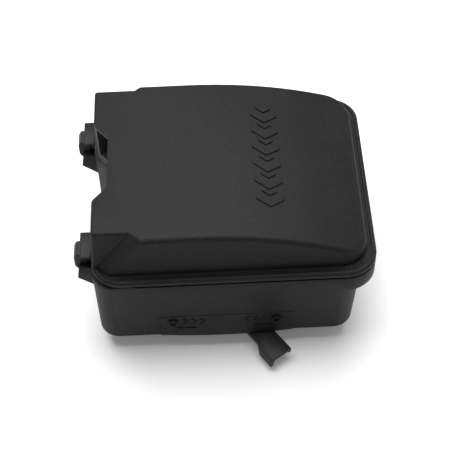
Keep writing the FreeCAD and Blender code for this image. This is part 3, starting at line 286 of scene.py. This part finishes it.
def refined_copy(node, name, bevel=0.25):
    """A moulded skin over a CAD node: welded, softened along its sharp edges and shaded smooth."""
    piece = nodes[node].copy()
    piece.data = nodes[node].data.copy()
    bpy.context.scene.collection.objects.link(piece)
    piece.name = name
    piece.data.name = name
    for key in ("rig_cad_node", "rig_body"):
        if key in piece:
            del piece[key]
    only(piece)
    bpy.ops.object.mode_set(mode="EDIT")
    bpy.ops.mesh.select_all(action="SELECT")
    bpy.ops.mesh.remove_doubles(threshold=0.002 * MM)
    bpy.ops.mesh.dissolve_limited(angle_limit=math.radians(0.4), delimit={"NORMAL"})
    bpy.ops.object.mode_set(mode="OBJECT")
    modify(piece, "BEVEL", width=bevel * MM, segments=2, limit_method="ANGLE",
           angle_limit=math.radians(38), use_clamp_overlap=True, harden_normals=False)
    return smooth(piece, 35)


def seat(piece, body, slot, *replaced):
    """Rides a piece on its body, with its finish and the CAD nodes that it stands for."""
    dress(piece, slot)
    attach(piece, body)
    if replaced:
        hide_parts(*replaced)
    return piece


def at(x, y, z):
    """A place from the middle of the seam between the two shells, in millimetres."""
    return Vector((MIDDLE_X + x * MM, y * MM, SEAM_Z + z * MM))


def settle(piece, place, turn=None):
    """Moves a piece's mesh to its place, so that the object itself stays at the origin."""
    if turn is not None:
        piece.data.transform(turn)
    piece.data.transform(Matrix.Translation(place))
    return piece


def twin(piece, name):
    other = piece.copy()
    other.data = piece.data.copy()
    bpy.context.scene.collection.objects.link(other)
    other.name = other.data.name = name
    return other


def merged(name, pieces):
    bpy.ops.object.select_all(action="DESELECT")
    for piece in pieces:
        piece.select_set(True)
    bpy.context.view_layer.objects.active = pieces[0]
    bpy.ops.object.join()
    pieces[0].name = pieces[0].data.name = name
    return pieces[0]


def start(kind, name, **settings):
    """Adds a primitive with nothing else selected and goes into edit mode."""
    bpy.ops.object.select_all(action="DESELECT")
    getattr(bpy.ops.mesh, f"primitive_{kind}_add")(**settings)
    piece = bpy.context.object
    piece.name = piece.data.name = name
    bpy.ops.object.transform_apply(location=True, rotation=True, scale=True)
    bpy.ops.object.mode_set(mode="EDIT")
    return piece


def pick(piece, wanted, kind="verts"):
    """Selects what has its middle where wanted says, in edit mode."""
    bpy.ops.mesh.select_mode(type={"verts": "VERT", "edges": "EDGE", "faces": "FACE"}[kind])
    bpy.ops.mesh.select_all(action="DESELECT")
    shape = bmesh.from_edit_mesh(piece.data)
    for item in getattr(shape, kind):
        if kind == "verts":
            item.select_set(wanted(item.co))
        elif kind == "edges":
            item.select_set(wanted(*(corner.co for corner in item.verts)))
        else:
            item.select_set(wanted(item.calc_center_median(), item.normal))
    bmesh.update_edit_mesh(piece.data)


def done(piece):
    bpy.ops.object.mode_set(mode="OBJECT")
    return piece


# ---------------------------------------------------------------- mouldings

cover = seat(refined_copy("cover_shell", "cover_moulding"), "cover", "housing_plastic",
             "cover_shell")
base = seat(refined_copy("base_shell", "base_moulding"), "base", "housing_plastic",
            "base_shell")
for body, node, skin, slot in (
        ("front_clip", "clip_front", "front_clip_moulding", "clip_plastic"),
        ("rear_clip", "clip_rear", "rear_clip_moulding", "clip_plastic"),
        ("choke", "choke_lever", "choke_lever_moulding", "lever_plastic"),
        ("base", "filter_tray", "filter_tray_moulding", "tray_plastic"),
        ("base", "foam_retainer", "foam_retainer_moulding", "tray_plastic"),
        ("cover", "intake_snorkel", "snorkel_moulding", "snorkel_plastic")):
    seat(refined_copy(node, skin, 0.2), body, slot, node)


# ---------------------------------------------------------------- raised marks

def strip(name, length, width, point=0.0):
    """A flat strip along X; its middle is pushed out along -Y to make it a chevron."""
    piece = start("plane", name, size=1.0)
    bpy.ops.transform.resize(value=(length * MM, width * MM, 1))
    bpy.ops.mesh.bisect(plane_co=(0, 0, 0), plane_no=(1, 0, 0))
    pick(piece, lambda co: abs(co.x) < 0.01 * MM)
    bpy.ops.transform.translate(value=(0, -point * MM, 0))
    bpy.ops.mesh.select_all(action="SELECT")
    bpy.ops.mesh.subdivide(number_cuts=5)
    return done(piece)


def ring(name, radius, width):
    piece = start("circle", name, radius=radius * MM, vertices=48)
    bpy.ops.mesh.extrude_region_move()
    inner = 1 - width / radius
    bpy.ops.transform.resize(value=(inner, inner, 1))
    bpy.ops.mesh.select_all(action="SELECT")
    bpy.ops.mesh.normals_make_consistent(inside=False)
    return done(piece)


def emboss(piece, onto, axis, height, soften=0.16):
    """Lays a flat mark on a moulding along an axis and gives it a wall and soft edges."""
    modify(piece, "SHRINKWRAP", target=onto, wrap_method="PROJECT", offset=height * MM,
           use_negative_direction=True, use_positive_direction=True,
           **{f"use_project_{axis}": True})
    modify(piece, "SOLIDIFY", thickness=(height + 0.35) * MM, offset=-1.0)
    modify(piece, "BEVEL", width=soften * MM, segments=2, limit_method="ANGLE",
           angle_limit=math.radians(40))
    return smooth(piece, 40)


def make_roof_marks():
    """Air-flow chevrons down the right half of the roof, wide and narrow by turns."""
    wide = strip("roof_chevron", 14.6, 2.6, 5.2)
    narrow = strip("roof_inner_chevron", 8.0, 2.0, 2.9)
    column_x, first_y, pitch, above_roof = 20.1, 31.0, 11.8, 40.0
    for index in range(6):
        for tag, pattern, shift in (("wide", wide, 0.0), ("inner", narrow, 4.9)):
            mark = twin(pattern, f"roof_mark_{tag}_{index + 1}")
            settle(mark, at(column_x, first_y - pitch * index + shift, above_roof))
            emboss(mark, cover, "z", height=0.75)
            seat(mark, "cover", "housing_plastic")
    for pattern in (wide, narrow):
        bpy.data.objects.remove(pattern)


def make_panel_marks():
    """Throttle signs on the label panel: a ring with an upright bar for open and a level one
    for shut, each with chevrons and an arrow, and a thin edge round the panel."""
    to_front = Matrix.Rotation(math.radians(90), 4, "X")
    before_wall = -75.0
    left, right, low, high = -41.5, 31.0, -47.2, -31.6
    ring_offset, chevron_offset, chevron_pitch = 8.2, 2.4, 4.6
    arrow_drop, arrow_tip = 5.6, 4.4
    marks = []

    def lay(piece, x, z, turn=0.0, height=0.45):
        spun = to_front @ Matrix.Rotation(math.radians(turn), 4, "Z")
        marks.append((settle(piece, at(x, before_wall, z), spun), height))

    for tag, middle, level, points, bar in (("open", -26.0, -35.8, -1, 90.0),
                                            ("shut", 13.6, -35.6, 1, 0.0)):
        lay(ring(f"sign_{tag}_ring", 2.7, 0.9), middle + ring_offset * points, level)
        lay(strip(f"sign_{tag}_bar", 3.2, 0.9), middle + ring_offset * points, level, bar)
        for step in range(3):
            lay(strip(f"sign_{tag}_chevron_{step}", 4.6, 1.1, 1.9),
                middle + (chevron_offset - chevron_pitch * step) * points, level,
                -90.0 * points)
        lay(strip(f"sign_{tag}_arrow_shaft", 8.6, 0.8), middle, level - arrow_drop)
        lay(strip(f"sign_{tag}_arrow_head", 2.8, 0.8, 1.6), middle + arrow_tip * points,
            level - arrow_drop, 90.0 * points)
    for tag, x, z, length, turn in (
            ("left", left, (low + high) / 2, high - low, 90.0),
            ("right", right, (low + high) / 2, high - low, 90.0),
            ("top", (left + right) / 2, high + 0.9, right - left + 0.4, 0.0)):
        lay(strip(f"panel_{tag}_edge", length, 0.5), x, z, turn, height=0.18)
    for mark, height in marks:
        emboss(mark, base, "y", height, soften=height * 0.22)
        seat(mark, "base", "housing_plastic")


make_roof_marks()
make_panel_marks()


# ---------------------------------------------------------------- foams

def make_foam(node, name, sag):
    """A die-cut foam slab: rounded corners, sides drawn in a little, an uneven face."""
    low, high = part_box(node)
    middle, size = (low + high) / 2, high - low
    slab = start("cube", name, size=1.0)
    bpy.ops.transform.resize(value=(size.x, size.y, size.z))
    pick(slab, lambda one, two: abs(one.z - two.z) > 0.5 * size.z, "edges")
    bpy.ops.mesh.bevel(offset=5.0 * MM, segments=6)
    pick(slab, lambda co: True)
    bpy.ops.mesh.bevel(offset=0.9 * MM, segments=2, affect="EDGES")
    done(slab)
    modify(slab, "REMESH", mode="VOXEL", voxel_size=1.6 * MM)
    clouds = bpy.data.textures.new(f"{name}_face", "CLOUDS")
    clouds.noise_scale = 9 * MM
    modify(slab, "DISPLACE", texture=clouds, strength=0.5 * MM, mid_level=0.85)
    half = size / 2
    for vertex in slab.data.vertices:
        height = 1 - (vertex.co.z / half.z) ** 2
        inward = 1 - sag * MM * max(0.0, height) / half.x
        vertex.co.x *= inward
        vertex.co.y *= inward
    settle(slab, middle)
    smooth(slab, 60)
    seat(slab, "base", "fine_foam" if node == "main_foam" else "coarse_foam", node)


make_foam("main_foam", "main_foam_slab", 0.6)
make_foam("pre_filter_foam", "pre_filter_slab", 0.5)


# ---------------------------------------------------------------- screws

HEAD_RADIUS = 3.0 * MM
HEAD_HEIGHT = 1.6 * MM


def make_screw(name):
    """A pan-head screw with a cross recess, standing with its head's seat at the origin."""
    screw = start("cylinder", name, vertices=32, radius=HEAD_RADIUS, depth=HEAD_HEIGHT,
                  location=(0, 0, HEAD_HEIGHT / 2))
    pick(screw, lambda middle, normal: normal.z > 0.9, "faces")
    bpy.ops.mesh.bevel(offset=0.7 * MM, segments=4)
    pick(screw, lambda middle, normal: normal.z < -0.9, "faces")
    bpy.ops.mesh.inset(thickness=1.5 * MM)
    for step in range(14):
        bpy.ops.mesh.extrude_region_move(
            TRANSFORM_OT_translate={"value": (0, 0, -0.62 * MM)})
        wide = 0.82 if step % 2 else 1 / 0.82
        bpy.ops.transform.resize(value=(wide, wide, 1))
    bpy.ops.mesh.extrude_region_move(TRANSFORM_OT_translate={"value": (0, 0, -0.6 * MM)})
    bpy.ops.transform.resize(value=(0.4, 0.4, 1))
    done(screw)
    for turn in (0, 90):
        slot = start("cube", f"{name}_slot_{turn}", size=1.0)
        bpy.ops.transform.resize(value=(3.4 * MM, 0.75 * MM, 2.0 * MM))
        pick(slot, lambda middle, normal: normal.z < -0.9, "faces")
        bpy.ops.transform.resize(value=(0.45, 0.8, 1))
        done(slot)
        settle(slot, Vector((0, 0, 1.75 * MM)), Matrix.Rotation(math.radians(turn), 4, "Z"))
        modify(screw, "BOOLEAN", object=slot, operation="DIFFERENCE", solver="EXACT")
        bpy.data.objects.remove(slot)
    return smooth(screw, 35)


def make_screws(node, name):
    """One detailed screw for each of a node's four, at the corners of its box."""
    low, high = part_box(node)
    seat_z = high.z - HEAD_HEIGHT
    pattern = make_screw(f"{name}_pattern")
    copies = []
    for x in (low.x + HEAD_RADIUS, high.x - HEAD_RADIUS):
        for y in (low.y + HEAD_RADIUS, high.y - HEAD_RADIUS):
            turn = Matrix.Rotation(math.radians(17 + 41 * len(copies)), 4, "Z")
            copies.append(settle(twin(pattern, f"{name}_{len(copies)}"),
                                 Vector((x, y, seat_z)), turn))
    bpy.data.objects.remove(pattern)
    seat(merged(name, copies), "base", "zinc_steel", node)


make_screws("retainer_screws", "retainer_screw_set")
make_screws("clamp_screws", "clamp_screw_set")


# ---------------------------------------------------------------- studio

def make_floor():
    bpy.ops.object.select_all(action="DESELECT")
    bpy.ops.mesh.primitive_plane_add(size=6.0, location=(0, 0, FLOOR_Z - 0.2 * MM))
    floor = bpy.context.object
    floor.name = "studio_floor"
    paper = Finish("StudioPaper", Roughness=0.9, Emission_Color=(1, 1, 1, 1),
                   Emission_Strength=0.1)
    tint = paper.noise(0.4, 2.0)
    paper.feed("Base Color", paper.blend(tint, (0.90, 0.90, 0.90, 1), (0.93, 0.93, 0.93, 1)))
    floor.data.materials.append(paper.material)


def make_light(name, place, aim, size, power):
    bpy.ops.object.light_add(type="AREA", location=place)
    lamp = bpy.context.object
    lamp.name = name
    lamp.data.size = size
    lamp.data.energy = power
    lamp.rotation_euler = (Vector(aim) - Vector(place)).to_track_quat("-Z", "Y").to_euler()


def make_studio():
    world = bpy.data.worlds.new("Studio")
    bpy.context.scene.world = world
    world.use_nodes = True
    world.node_tree.nodes["Background"].inputs["Color"].default_value = (1, 1, 1, 1)
    world.node_tree.nodes["Background"].inputs["Strength"].default_value = 0.22
    make_light("overhead_softbox", place=(-0.05, 0.36, 1.15), aim=(0, 0, 0.05), size=1.2,
               power=26)
    make_light("right_softbox", place=(0.95, 0.5, 0.7), aim=(0.03, 0, 0.05), size=0.8,
               power=0.8)
    make_light("front_fill", place=(0.1, -0.75, 1.1), aim=(0, 0, 0.05), size=0.8, power=0.3)


def make_camera():
    """Looks down on the front of the housing, slightly turned and rolled."""
    elevation, heading, roll = (math.radians(angle) for angle in (52.0, 0.96, 1.85))
    distance = 676.0 * MM
    aim = Vector((MIDDLE_X - 3.1 * MM, -13.4 * MM, SEAM_Z - 15.0 * MM))
    ahead = Vector((math.sin(heading) * math.cos(elevation),
                    math.cos(heading) * math.cos(elevation), -math.sin(elevation)))
    right = Vector((math.cos(heading), -math.sin(heading), 0))
    up = right.cross(ahead)
    rolled_right = right * math.cos(roll) - up * math.sin(roll)
    rolled_up = right * math.sin(roll) + up * math.cos(roll)
    bpy.ops.object.camera_add()
    camera = bpy.context.object
    camera.name = "catalogue_camera"
    camera.data.lens = 97.43
    camera.data.sensor_width = 36.0
    camera.data.clip_start = 0.01
    camera.matrix_world = Matrix.Translation(aim - ahead * distance) @ Matrix(
        (rolled_right, rolled_up, -ahead)).transposed().to_4x4()
    bpy.context.scene.camera = camera


make_floor()
make_studio()
make_camera()
bpy.context.scene.view_settings.view_transform = "Standard"
